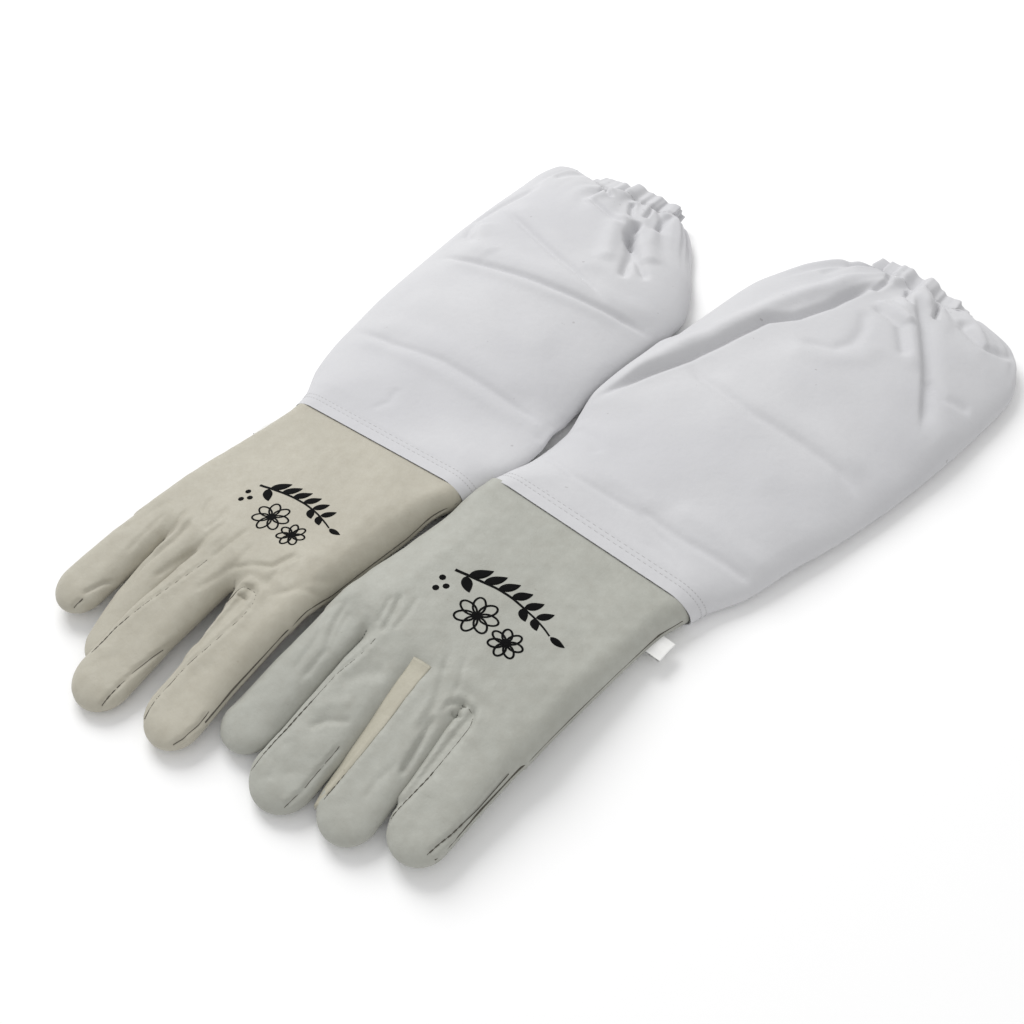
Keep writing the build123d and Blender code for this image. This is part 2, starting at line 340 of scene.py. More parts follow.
def field_slope(field, points, size=0.2):
    slopes = []
    for axis in range(3):
        shift = np.zeros(3)
        shift[axis] = size
        slopes.append((field(*(points + shift).T) - field(*(points - shift).T)) / (2 * size))
    return np.stack(slopes, -1)


def settle(field, points, rounds=3):
    """Moves points onto the surface where the field is zero."""
    for _ in range(rounds):
        value = field(*points.T)
        slope = field_slope(field, points)
        square = np.maximum((slope ** 2).sum(axis=1), 0.05)
        move = -value[:, None] * slope / square[:, None]
        points = points + np.clip(move, -1.0, 1.0)
    return points


def vertex_normals(points, faces):
    a, b, c, d = (points[faces[:, i]] for i in range(4))
    face_normals = np.cross(c - a, d - b)
    normals = np.zeros_like(points)
    for i in range(4):
        np.add.at(normals, faces[:, i], face_normals)
    return normals / np.maximum(np.linalg.norm(normals, axis=1), 1e-12)[:, None]


def relax(points, faces, rounds):
    """Evens the mesh out by moving each point towards the middle of its neighbours."""
    pairs = np.concatenate([faces[:, [i, (i + 1) % 4]] for i in range(4)])
    for _ in range(rounds):
        total = np.zeros_like(points)
        count = np.zeros(len(points))
        for a, b in ((0, 1), (1, 0)):
            np.add.at(total, pairs[:, a], points[pairs[:, b]])
            np.add.at(count, pairs[:, a], 1)
        points = points + 0.5 * (total / np.maximum(count, 1)[:, None] - points)
    return points


# Wrinkles, one in a row: its height and its width, then its line's points as x and y.
WRINKLES = {
    "right": read_lines("""
        -0.5 1.6: -60 -90  -50 -99  -42 -110
        -0.9 1.4: -34 -84  -31 -97  -20 -104  -12 -110
        0.5 2.2: -37 -87  -34 -97  -30 -106
        -0.6 1.2: -37 -84  -34 -96  -37 -108
        -0.5 1.2: -17 -103  -30 -98  -34 -84
        -0.6 1.6: -12 -92  -14 -104  -12 -118  -9 -130
        -0.8 1.3: -2 -88  -3 -100  -2 -112
        -0.9 1.5: 10 -90  10 -106  12 -120  15 -136
        -1.1 1.4: 24 -100  22 -115  25 -133  22 -150
        -1.0 1.4: 33 -96  30 -106  28 -117  31 -134
        0.8 2.6: 4 -96  5 -110  8 -126
        0.8 2.0: 28 -98  25 -112  26 -126
        -0.6 1.4: 30 -84  26 -92  20 -97
        -0.6 1.2: 18 -84  14 -92  15 -102
        -0.4 2.0: -58 -78  -50 -92  -46 -108
        -0.4 1.8: 44 -96  47 -112  50 -128
        -0.5 1.4: 40 -104  38 -118  36 -134
        -1.3 0.9: 27.5 -141  29.5 -145  32 -149  34.5 -160
        -0.3 2.6: -8 -168  -2 -176  0 -186
        -0.3 2.4: -46 -146  -42 -158
        0.8 1.7: -23.5 -118  -25.5 -110.5  -31.5 -108  -38 -109.6  -41.4 -116
        -2.2 1.5: -23 -122  -25.4 -128  -27 -138  -29 -146
        -1.5 0.7: -27.6 -117.4  -30.8 -116.4  -34.2 -117.4
        -0.3 4.0: -40 -20  -20 -30  10 -32
    """),
    "left": read_lines("""
        -1.2 1.3: -39 -88  -35.8 -94  -33 -101  -31 -110
        -0.8 1.1: -41 -92  -38 -100  -36 -108
        -0.8 1.3: -32 -84  -29 -94  -27 -106
        0.8 2.4: -44 -104  -41 -116  -40 -130
        -1.0 1.5: -55 -104  -51 -119  -45 -130  -44 -148
        -0.6 1.1: -50 -110  -46 -122  -42 -132
        -0.6 1.3: -58 -116  -52 -130  -50 -146
        -1.0 1.8: -26 -160  -22 -153  -12 -146
        0.5 2.6: -30 -154  -25 -146  -18 -140
        -0.9 3.6: -30 -138  -24 -128  -16 -121
        -0.5 1.6: -32 -176  -26 -179  -22 -186
        -0.6 3.0: -30 -168  -22 -172  -16 -180
        0.5 3.0: -14 -168  -18 -160  -23 -155
        -1.0 1.8: -2 -96  4 -108  10 -120  14 -136
        -0.6 1.2: 5 -94  12 -106  15 -118
        0.7 2.4: 2 -104  8 -118  10 -134
        0.8 1.7: 11.8 -118  14 -111  20.5 -108  27.6 -109.8  31 -117
        -2.2 1.5: 13.4 -123  16 -132  18 -142  20 -152
        -1.5 0.7: 17.6 -118  20.4 -116.6  23.4 -117.2
        -0.4 3.6: 34 -150  38 -162
        -0.5 1.6: 16 -146  14 -158  15 -168
        -0.3 5.0: 20 -40  40 -52
        -0.5 3.0: -50 -60  -46 -80
    """),
}
NO_STITCHES = (1.0, 1.0)
# Seams on top: the stall they are on, the line, and where along it the stitches show.
SEAMS = {
    "right": [
        ("middle", [(-1.5, -113), (-0.7, -120), (2, -133.5), (5.5, -148.6), (7.5, -162), (6, -176)],
         (0.66, 1.0)),
        ("middle", [(-19, -118), (-20.5, -127), (-20.5, -137), (-19.5, -146), (-18.6, -158), (-18, -171),
                    (-18.5, -184), (-19, -196)], (0.68, 1.0)),
        ("pinky", [(33, -161), (34.5, -168), (37, -176)], (0.0, 1.0)),
        ("index", [(-25.2, -122), (-25, -117), (-26.8, -112.9), (-31.2, -111.3), (-36, -112.6),
                   (-38.6, -117), (-40, -125), (-38.2, -139.5), (-36, -153), (-36, -161),
                   (-37, -174), (-40, -186)], NO_STITCHES),
        ("index", [(-60, -163), (-61, -170), (-60.5, -178), (-57, -186)], NO_STITCHES),
    ],
    "left": [
        ("middle", [(-31, -113), (-31, -123), (-33.5, -135), (-33.8, -147), (-34.2, -160), (-33.8, -174),
                    (-32.5, -187)], (0.5, 0.9)),
        ("middle", [(-9.8, -157), (-9.4, -165), (-9, -172), (-8.2, -180), (-9.5, -189)], NO_STITCHES),
        ("ring", [(-3.5, -114), (-1.9, -124.5), (-0.4, -142.5), (0.3, -156), (0.9, -168), (1.6, -177)],
         (0.8, 1.0)),
        ("pinky", [(15, -122), (14.8, -116.5), (17, -112.6), (21.2, -111.3), (25.8, -112.6), (28.4, -117.5),
                   (29, -127), (29.2, -144.6), (28.4, -157), (28, -165), (29.5, -175)], (0.62, 1.0)),
        ("pinky", [(53, -122), (53, -141), (52, -156), (50, -168)], (0.6, 1.0)),
    ],
}
# Fourchettes that show: the stall, and points along the strip's middle as (x, y, width).
FOURCHETTES = {
    "right": [],
    "left": [
        ("ring", [(-7.4, -108, 9.6), (-6.6, -118, 9.4), (-5.8, -127, 8.8), (-4.2, -140, 8.2),
                  (-3.2, -152, 7.4), (-2.4, -162, 6.6), (-1.4, -172, 5.2), (-0.6, -180, 2.4)]),
    ],
}


def puckers(x, y, line):
    """Short gathers that a tight seam draws into the leather on both its sides."""
    gap, share = line_distance(x, y, line)
    length = np.hypot(*np.diff(np.array(line, float), axis=0).T).sum()
    place = share * length
    wave = np.sin(2 * np.pi * place / 4.6 + 1.3 * np.sin(place / 7.0))
    strength = 0.14 * (0.6 + 0.4 * np.sin(place / 11.0 + len(line)))
    return strength * wave * ease(gap, 0.3, 1.6) * np.exp(-((gap / 3.4) ** 2)) * ease(share, 0, 0.06)


def leather_marks(side, x, y, up):
    """Height that wrinkles, seams and swelling add to the leather, above or below."""
    total = 0.35 * lumps(x, y, 38.0, 3 + SEED[side])
    total = total + 0.12 * lumps(x, y, 13.0, 5 + SEED[side])
    for line, height, width in WRINKLES[side]:
        total = total + crease(x, y, line, height, width)
    for _, line, _ in SEAMS[side]:
        total = total + crease(x, y, line, -0.9, 0.9, 0.05)
        total = total + crease(x, y, line, 0.45, 3.2, 0.05)
        total = total + puckers(x, y, line)
    fade = ease(-y, 0, 8)
    return np.where(up, total * fade, 0.15 * total * fade)


def grid_faces(rows, columns, closed=True):
    """Quads between the points of a grid, whose rows may close into rings."""
    i, j = np.meshgrid(np.arange(rows - 1), np.arange(columns if closed else columns - 1), indexing="ij")
    a, b = i * columns + j, i * columns + (j + 1) % columns
    return np.stack([a, b, b + columns, a + columns], -1).reshape(-1, 4)


def open_edges(faces):
    """Each edge, as two point numbers, that only one face has."""
    edges = np.concatenate([faces[:, [i, (i + 1) % 4]] for i in range(4)])
    count = faces.max() + 1
    key, back = edges[:, 0] * count + edges[:, 1], edges[:, 1] * count + edges[:, 0]
    return edges[~np.isin(key, back)]


def facing_up(points, faces, at):
    """The faces and normals of a surface, turned so that the normal at one point looks up."""
    normals = vertex_normals(points, faces)
    if normals[at, 2] < 0:
        return faces[:, ::-1], -normals
    return faces, normals


def make_object(name, points, faces, material, side, normals=None):
    mesh = bpy.data.meshes.new(name)
    points = to_row(side, points)
    if WAY[side] < 0:
        faces = [tuple(reversed(face)) for face in faces]
        if normals is not None:
            normals = normals * np.array([-1, 1, 1])
    mesh.from_pydata(points.tolist(), [], [tuple(int(i) for i in face) for face in faces])
    mesh.polygons.foreach_set("use_smooth", [True] * len(mesh.polygons))
    mesh.update()
    if normals is not None:
        mesh.normals_split_custom_set_from_vertices(normals.tolist())
    obj = bpy.data.objects.new(name, mesh)
    bpy.context.scene.collection.objects.link(obj)
    obj.data.materials.append(material)
    return obj


def shell(name, points, faces, normals, wall, material, side):
    """An object of that wall thickness, built inwards from a surface."""
    used = np.unique(faces)
    number = np.full(len(points), -1)
    number[used] = np.arange(len(used))
    outer, normals = points[used], normals[used]
    faces = number[faces]
    count = len(used)
    inner = outer - wall * normals
    rim = open_edges(faces)
    rim_faces = np.stack([rim[:, 1], rim[:, 0], rim[:, 0] + count, rim[:, 1] + count], -1)
    all_faces = np.concatenate([faces, faces[:, ::-1] + count, rim_faces])
    all_points = np.concatenate([outer, inner])
    all_normals = np.concatenate([normals, -normals])
    return make_object(name, all_points, all_faces.tolist(), material, side, all_normals)


def leather_net(side, low, high, fingers=FINGER_NAMES):
    """Points, faces and normals of the leather of the hand and some stalls, with its wrinkles."""
    def field(x, y, z):
        return leather_field(side, x, y, z, fingers)

    points, faces = surface_net(field, low, high, NET_STEP)
    points = settle(field, points)
    points = relax(points, faces, 2)
    points = settle(field, points, 2)
    normals = vertex_normals(points, faces)
    x, y, z = points.T
    up = z > middle_height(x, y)
    lift = leather_marks(side, x, y, up) * np.clip(np.abs(normals[:, 2]) * 1.4, 0, 1)
    points = points + normals * lift[:, None]
    return points, faces, vertex_normals(points, faces)


def nearest_finger(side, x, y):
    gaps = np.stack([finger_distance(side, f, x, y) for f in FINGER_NAMES])
    return gaps.argmin(axis=0)


def build_leather(side):
    """The hand's surface and each stall's, which meet point for point at ROOT_Y."""
    low, high = np.array([-72.0, -206.0, -3.0]), (72, 4, 36)
    hand_low = low + [0, 70 * NET_STEP, 0]  # all the nets share one grid, so that they meet
    points, faces, normals = leather_net(side, hand_low, high)
    middle = points[faces].mean(axis=1)
    faces = faces[(middle[:, 1] < 0.2) & (middle[:, 1] > ROOT_Y)]
    points[:, 1] = np.minimum(points[:, 1], 0.0)
    trimmed = vertex_normals(points, faces)
    hand = (points, faces, np.where(points[:, 1:2] < ROOT_Y + 3, normals, trimmed))
    edge = np.unique(open_edges(faces))
    edge = edge[points[edge, 1] < ROOT_Y + 3]
    surfaces = {"hand": hand}
    for number, finger in enumerate(FINGER_NAMES):
        centre = FINGERS[side][finger][0][1][1]
        steps = max(int((centre - FINGER_REACH - low[0]) / NET_STEP), 0)
        start = low + [steps * NET_STEP, 0, 0]
        end = (centre + FINGER_REACH + 1, ROOT_Y + 5, high[2])
        own, own_faces, own_normals = leather_net(side, start, end, (finger,))
        middle = own[own_faces].mean(axis=1)
        owner = nearest_finger(side, middle[:, 0], middle[:, 1])
        keep = (middle[:, 1] < ROOT_Y) & ((middle[:, 1] < WEB_Y - 3) | (owner == number))
        own_faces = own_faces[keep]
        rim = np.unique(open_edges(own_faces))
        rim = rim[own[rim, 1] > ROOT_Y - 2]
        gap = np.linalg.norm(own[rim][:, None] - points[edge][None], axis=-1)
        match, close = edge[gap.argmin(axis=1)], gap.min(axis=1) < 1.0
        own[rim[close]] = points[match[close]]
        own_normals[rim[close]] = normals[match[close]]
        surfaces[finger] = (own, own_faces, own_normals)
    return surfaces


def strip_solid(name, side, tops, thick, material):
    """A thin closed strip: rows of points across it, and a copy of them set lower."""
    rows, columns = tops.shape[:2]
    count = rows * columns
    points = np.concatenate([tops.reshape(-1, 3), (tops - [0, 0, thick]).reshape(-1, 3)])
    grid, up = np.arange(count).reshape(rows, columns), grid_faces(rows, columns, False)
    ring = np.concatenate([grid[0], grid[1:, -1], grid[-1, -2::-1], grid[-2:0:-1, 0]])
    after = np.roll(ring, -1)
    skirt = np.stack([after, ring, ring + count, after + count], -1)
    faces = np.concatenate([up, up[:, ::-1] + count, skirt])
    if np.cross(tops[1, 0] - tops[0, 0], tops[0, 1] - tops[0, 0])[2] > 0:
        faces = faces[:, ::-1]
    return make_object(name, points, faces.tolist(), material, side)


def resample(line, spacing):
    """Evenly spaced points along a smooth curve through a line's points."""
    line = np.array(line, float)
    ends = np.concatenate([[0], np.cumsum(np.hypot(*np.diff(line[:, :2], axis=0).T))])
    count = max(int(ends[-1] / spacing), 3)
    place = np.linspace(0, ends[-1], count + 1)
    out = np.stack([np.interp(place, ends, line[:, k]) for k in range(line.shape[1])], -1)
    for _ in range(6):
        out[1:-1] = 0.25 * out[:-2] + 0.5 * out[1:-1] + 0.25 * out[2:]
    return out


def line_sides(line):
    """Unit vectors across a flat line at each of its points."""
    step = np.gradient(line[:, :2], axis=0)
    step /= np.maximum(np.linalg.norm(step, axis=1), 1e-9)[:, None]
    return np.stack([-step[:, 1], step[:, 0]], -1)


def build_fourchette(side, finger, line):
    """A fourchette's visible face: a strip over the valley between two stalls."""
    line = resample(line, 1.2)
    across = line_sides(line)
    share = np.linspace(-1, 1, 11)
    half = line[:, 2:3] / 2
    x = line[:, :1] + across[:, :1] * half * share
    y = line[:, 1:2] + across[:, 1:] * half * share
    z = top_height(side, x, y)
    chord = z[:, :1] + (z[:, -1:] - z[:, :1]) * (share + 1) / 2
    z = np.maximum(z, chord) + 0.3 * (1 - share ** 2) * np.clip(half / 2, 0, 1) + 0.1
    for _ in range(4):
        z[1:-1] = 0.25 * z[:-2] + 0.5 * z[1:-1] + 0.25 * z[2:]
    tops = np.stack([x, y, z], -1)
    return strip_solid(f"{side}_{finger}_fourchette", side, tops, 3.4, MATERIALS["fourchette"])


def thread_line(points, across, normals, width, lift):
    """Rows of three points: a narrow rounded thread lying on a surface."""
    edge = across * width / 2
    return np.stack([points - edge, points + normals * lift, points + edge], axis=1)


def join_strips(name, side, strips, material, drop=(0, 0, 0.25), outward=(0, 0, 1)):
    """One object of several thin strips, each with its underside set back by drop, if any."""
    points, faces, count = [], [], 0
    for tops in strips:
        rows, columns = tops.shape[:2]
        base, part = tops.reshape(-1, 3), grid_faces(rows, columns, False)
        if drop is not None:
            base = np.concatenate([base, (tops - np.array(drop, float))[:, [0, -1]].reshape(-1, 3)])
            r, low = np.arange(rows - 1), rows * columns
            left = np.stack([r * columns, (r + 1) * columns, low + (r + 1) * 2, low + r * 2], -1)
            right = np.stack([(r + 1) * columns - 1, low + r * 2 + 1, low + (r + 1) * 2 + 1,
                              (r + 2) * columns - 1], -1)
            under = np.stack([low + r * 2, low + (r + 1) * 2, low + (r + 1) * 2 + 1, low + r * 2 + 1], -1)
            part = np.concatenate([part, left, right, under])
            cross = np.cross(tops[1, 0] - tops[0, 0], tops[0, 1] - tops[0, 0])
            if cross @ np.array(outward, float) > 0:
                part = part[:, ::-1]
        points.append(base)
        faces.append(part + count)
        count += len(base)
    return make_object(name, np.concatenate(points), np.concatenate(faces).tolist(), material, side)


def seam_threads(side, finger):
    """The dark line in each of a stall's seams, and the stitches where they show."""
    strips = []
    for owner, line, (start, end) in SEAMS[side]:
        if owner != finger:
            continue
        line = resample(line, 0.6)
        across = line_sides(line)
        z = top_height(side, line[:, 0], line[:, 1], (finger,))
        ok = outline(side, line[:, 0], line[:, 1], (finger,)) < -0.9
        points = np.stack([line[:, 0], line[:, 1], z], -1)[ok]
        flat = np.concatenate([across, np.zeros((len(across), 1))], -1)[ok]
        up = np.array([0, 0, 1.0])
        strips.append(thread_line(points, flat, up, 0.26, 0.04) + [0, 0, 0.08])
        first, last = int(start * len(points)), int(end * len(points))
        for k in range(first, min(last, len(points) - 4), 5):
            strips.append(thread_line(points[k:k + 4], flat[k:k + 4], up, 0.6, 0.2) + [0, 0, 0.12])
    return strips


# ---------------------------------------------------------------- materials

def srgb(red, green, blue):
    """A colour from its usual 0 to 255 values."""
    shares = [value / 255 for value in (red, green, blue)]
    return tuple(v / 12.92 if v <= 0.04045 else ((v + 0.055) / 1.055) ** 2.4 for v in shares) + (1.0,)


def grey(value):
    return (value, value, value, 1.0)


class Nodes:
    """Short names for building a material's node tree."""

    def __init__(self, name):
        self.material = bpy.data.materials.new(name)
        self.material.use_nodes = True
        self.tree = self.material.node_tree
        self.shader = self.tree.nodes["Principled BSDF"]
        self.place = self.add("ShaderNodeTexCoord").outputs["Object"]

    def add(self, kind, **values):
        node = self.tree.nodes.new(kind)
        for key, value in values.items():
            setattr(node, key, value)
        return node

    def feed(self, socket, value):
        """Joins another node's output to a socket, or sets the socket's own value."""
        if isinstance(value, bpy.types.NodeSocket):
            self.tree.links.new(value, socket)
        else:
            socket.default_value = value

    def fill(self, node, values):
        for name, value in values.items():
            self.feed(node.inputs[name], value)

    def finish(self, values):
        """Sets the shader's inputs and returns the material."""
        self.fill(self.shader, values)
        return self.material

    def noise(self, scale, detail=3.0, rough=0.5):
        node = self.add("ShaderNodeTexNoise")
        self.fill(node, {"Vector": self.place, "Scale": scale, "Detail": detail, "Roughness": rough})
        return node.outputs["Fac"]

    def ramp(self, value, stops):
        node = self.add("ShaderNodeValToRGB")
        for element, (place, colour) in zip(node.color_ramp.elements, stops):
            element.position = place
            element.color = colour
        self.feed(node.inputs["Fac"], value)
        return node.outputs["Color"]

    def mix(self, share, a, b):
        node = self.add("ShaderNodeMix", data_type="RGBA")
        for number, value in ((0, share), (6, a), (7, b)):
            self.feed(node.inputs[number], value)
        return node.outputs[2]

    def bump(self, layers):
        """Bumps on bumps: each layer is a height, its strength and its distance."""
        normal = None
        for height, strength, distance in layers:
            node = self.add("ShaderNodeBump")
            self.fill(node, {"Strength": strength, "Distance": distance, "Height": height})
            if normal is not None:
                self.feed(node.inputs["Normal"], normal)
            normal = node.outputs["Normal"]
        return normal


def leather_material(name, light, dark, stain):
    """Soft matt leather: fine pebbled grain, broad tone changes and a few small marks."""
    m = Nodes(name)
    tone = m.ramp(m.noise(14.0, 4.0, 0.6), [(0.3, dark), (0.62, light)])
    tone = m.mix(m.ramp(m.noise(160.0, 4.0, 0.65), [(0.35, grey(0.0)), (0.75, grey(0.35))]), tone, stain)
    tone = m.mix(m.ramp(m.noise(420.0, 2.0), [(0.73, grey(0.0)), (0.79, grey(0.5))]), tone, stain)
    cells = m.add("ShaderNodeTexVoronoi")
    m.fill(cells, {"Vector": m.place, "Scale": 1500.0, "Detail": 2.0, "Roughness": 0.5})
    grain = cells.outputs["Distance"]
    fine, soft = m.noise(700.0, 5.0, 0.6), m.noise(110.0, 4.0, 0.55)
    return m.finish({
        "Base Color": tone,
        "Normal": m.bump([(soft, 0.35, 0.0012), (fine, 0.3, 0.0004), (grain, 0.2, 0.0002)]),
        "Roughness": m.ramp(fine, [(0.3, grey(0.5)), (0.7, grey(0.66))]),
        "Specular IOR Level": 0.32,
        "Sheen Weight": 0.12,
        "Sheen Roughness": 0.6,
    })


def canvas_material(name, light, dark):
    """White plain-weave cotton: crossed threads, slubs, a few specks and soft wrinkling."""
    m = Nodes(name)
    weave = m.add("ShaderNodeMath", operation="MAXIMUM")
    bands = {"Scale": 520.0, "Distortion": 0.6, "Detail": 1.0, "Detail Scale": 1.5}
    for number, direction in enumerate(("X", "Y")):
        wave = m.add("ShaderNodeTexWave", wave_type="BANDS", bands_direction=direction)
        m.fill(wave, {"Vector": m.place, **bands})
        m.feed(weave.inputs[number], wave.outputs["Fac"])
    slub, cloth = m.noise(260.0, 3.0, 0.6), m.noise(60.0, 5.0, 0.6)
    tone = m.ramp(m.noise(9.0), [(0.3, dark), (0.6, light)])
    tone = m.mix(m.ramp(slub, [(0.4, grey(0.0)), (0.8, grey(0.3))]), tone, dark)
    speck = m.ramp(m.noise(190.0, 2.0, 0.4), [(0.775, grey(0.0)), (0.8, grey(0.45))])
    return m.finish({
        "Base Color": m.mix(speck, tone, srgb(150, 146, 146)),
        "Normal": m.bump([(cloth, 0.3, 0.002), (slub, 0.2, 0.0004), (weave.outputs[0], 0.25, 0.0001)]),
        "Roughness": 0.9,
        "Specular IOR Level": 0.15,
        "Sheen Weight": 0.2,
        "Sheen Roughness": 0.5,
    })


def thread_material(name, colour):
    """Twisted sewing thread."""
    m = Nodes(name)
    twist = m.noise(2600.0, 2.0)
    dark = tuple(0.6 * c for c in colour[:3]) + (1.0,)
    return m.finish({
        "Base Color": m.ramp(twist, [(0.35, dark), (0.65, colour)]),
        "Normal": m.bump([(twist, 0.4, 0.0002)]),
        "Roughness": 0.75,
    })


def ink_material():
    """Black screen-print ink, a little worn where the grain stands up."""
    m = Nodes("print_ink")
    worn = m.noise(900.0, 3.0, 0.6)
    return m.finish({
        "Base Color": m.ramp(worn, [(0.6, srgb(9, 9, 10)), (0.85, srgb(34, 34, 33))]),
        "Normal": m.bump([(worn, 0.2, 0.0002)]),
        "Roughness": 0.8,
        "Specular IOR Level": 0.08,
    })


MATERIALS = {
    "right": leather_material("cream_leather", srgb(182, 178, 164), srgb(172, 168, 154), srgb(156, 149, 133)),
    "left": leather_material("grey_leather", srgb(171, 172, 164), srgb(161, 162, 154), srgb(144, 142, 132)),
    "fourchette": leather_material(
        "fourchette_leather", srgb(180, 176, 160), srgb(171, 167, 150), srgb(150, 144, 128)),
    "canvas": canvas_material("white_canvas", srgb(202, 202, 204), srgb(194, 194, 197)),
    "thread": thread_material("dark_thread", srgb(86, 82, 72)),
    "white_thread": thread_material("white_thread", srgb(196, 195, 196)),
    "label": canvas_material("label_tape", srgb(240, 240, 238), srgb(228, 228, 226)),
    "ink": ink_material(),
}


# ---------------------------------------------------------------- the canvas sleeve

# Sleeve sections: y, thumb side x, little finger side x, middle z, rise above, rise below,
# and how far the thumb side and the little finger side are pushed towards the cuff.
SLEEVES = {
    "right": [
        (-1.5, -62.4, 63.2, 10.5, 10.4, 6.9, 0, 0),
        (6, -64.5, 65.5, 9.9, 11.0, 7.0, 0, 0),
        (30, -68.5, 80, 7.8, 13.5, 6.8, 0, 0),
        (54, -67, 88, 6.6, 15.5, 6.2, 0, 0),
        (78, -61, 94, 6.0, 17, 6.0, 0, 0),
        (100, -58.5, 99, 5.8, 18.3, 5.7, 0, 0),
        (140, -58, 106, 5.6, 20, 5.4, 0, 0),
        (200, -58, 113, 5.6, 21, 5.4, 0, 0),
        (232, -46, 117, 5.6, 21, 5.4, 0, 6),
        (256, -28, 118, 5.8, 18.5, 5.4, 2, 20),
        (272, -14, 113, 6.4, 15.5, 5.8, 6, 28),
        (283, -2, 100, 7.6, 12.5, 6.6, 7, 22),
        (288, 6, 82, 9.0, 10.6, 7.8, 4, 6),
        (301, 7, 79, 9.9, 9.6, 9.0, 0, 0),
    ],
    "left": [
        (-1.5, -62.4, 63.2, 10.5, 10.4, 6.9, 0, 0),
        (6, -61.5, 65.0, 9.9, 11.0, 7.0, 0, 0),
        (30, -59, 76, 7.8, 13.5, 6.8, 0, 0),
        (60, -60, 84, 6.4, 16, 6.2, 0, 0),
        (80, -64.5, 90, 6.0, 17.4, 6.0, 0, 0),
        (104, -67, 96, 5.8, 19, 5.7, 0, 0),
        (140, -65.5, 103, 5.6, 21, 5.4, 0, 0),
        (200, -62, 111, 5.6, 22, 5.4, 0, 0),
        (244, -57, 114, 5.6, 22, 5.4, 4, 4),
        (268, -46, 108, 5.9, 19.5, 5.4, 10, 8),
        (282, -32, 94, 6.6, 16, 5.8, 12, 16),
        (292, -16, 78, 8.0, 12.5, 6.8, 8, 15),
        (298, -6, 67, 9.2, 10.6, 7.9, 2, 6),
        (311, -5, 66, 9.9, 9.6, 9.0, 0, 0),
    ],
}
# Where along y each sleeve's thumb side edge lies over the other sleeve.
LAP = {"right": (4.0, 88.0), "left": (72.0, 176.0)}
SLANT = {"right": 2.0, "left": 10.0}  # how far the cuff's thumb side reaches past its middle
# Where the stitched tunnel for the elastic starts.
CASING_START = {"right": 287.0, "left": 297.0}
# Folds on top of each sleeve, in the same form.
FOLDS = {
    "right": read_lines("""
        -2.6 2.6: 96 152  86 154  48 157  8 161  -17 166  -56 176
        1.5 5.0: 92 148  48 151  8 155  -40 166
        2.4 9.0: 96 166  48 168  8 172  -30 180  -54 190
        -1.9 2.6: 96 216  74 208  33 191  -8 178  -24 172
        1.8 8.0: 96 226  74 218  33 202  -6 190
        -2.4 3.6: 78 170  94 180  106 201  104 226  98 256
        1.4 7.0: 60 166  84 176  94 198
        -6.5 2.6: 17 262  13 250  10 240  2 230
        -3.6 3.0: 12 250  8 240  -4 222  -15 198
        -3.0 3.0: 12 250  2 234  -10 222  -27 208
        -2.4 2.4: 60 260  48 256  18 246
        2.6 6.0: 26 262  22 242  12 222  2 204
        2.4 6.0: 4 264  -6 240  -20 224
        -3.6 1.8: 65 288  60 280  46 270
        -3.6 1.8: 36 282  32 274  24 262
        -3.2 1.6: 25 288  22 280  18 268
        -3.8 1.8: 12 286  8 276  3 262
        2.2 4.0: 55 284  52 268  56 252
        -2.0 3.0: 80 292  90 276  98 262
        -1.4 2.8: 88 66  51 65  18 69  -20 69  -60 70
        1.1 5.0: 80 58  18 60  -56 61
        1.2 8.0: 80 76  20 80  -40 80
        -1.2 4.0: -62 92  -60 74  -64 56
        -0.6 2.6: 20 16  16 26  20 38
        0.9 14.0: 80 104  30 110  -30 116
    """),
    "left": read_lines("""
        5.0 7.5: -61 98  -54 126  -45 160  -34 196  -22 226  -8 252  0 286
        -4.6 2.8: -62 84  -57 102  -38 147  -30 176  -22 203  -9 216  1 238  9 272  12 290
        -1.2 12.0: -50 100  -30 140  -16 170  0 200
        -1.8 3.4: -38 143  -22 134  -7 129  16 123  49 122  71 120  90 114
        1.6 8.0: -20 144  16 134  49 132  86 128
        -1.5 4.0: 2 194  14 198  24 201  29 212  28 226  19 248
        1.2 7.0: 0 184  24 188  40 202  42 222
        -2.4 3.4: 20 254  30 250  42 245  58 219
        2.4 4.0: 20 264  34 258  48 248
        1.8 5.0: 26 282  46 250  68 212
        -1.2 3.6: 72 216  88 209  104 214
        -2.6 3.0: 66 286  70 276  84 267  102 274
        2.0 3.4: -2 304  10 306  26 298  38 290  48 275
        -3.6 1.6: 48 292  50 282  54 268
        -3.4 1.8: 10 298  14 286  12 270
        -2.8 1.6: 26 294  30 280  38 268
        -1.6 3.0: -14 300  -16 284  -24 266
        -1.1 2.4: -58 36  -30 27  6 29  40 21
        0.9 5.0: -56 46  -20 38  20 38
        -1.3 2.6: 4 32  38 30  78 34
        1.0 6.0: 20 44  60 42  86 46
        -0.7 2.2: 19 16  45 13  66 8
        -0.9 4.0: -58 66  -40 60  -30 50
        0.8 12.0: 60 84  10 80  -34 88
    """),
}
# Folds that tuck under themselves, with one steep side.
TUCKS = {"right": [], "left": [([(34, 284), (52, 253), (74, 214), (92, 174)], -3.4, 6.5)]}
SEAM_ROUND = 14.9  # how far in from its sides a sleeve reaches full thickness at the seam
HEM_ROWS = (5.2, 8.0)  # y of the two rows of stitches beside the leather
AROUND = 420  # points around a sleeve
ALONG = 330  # points along it


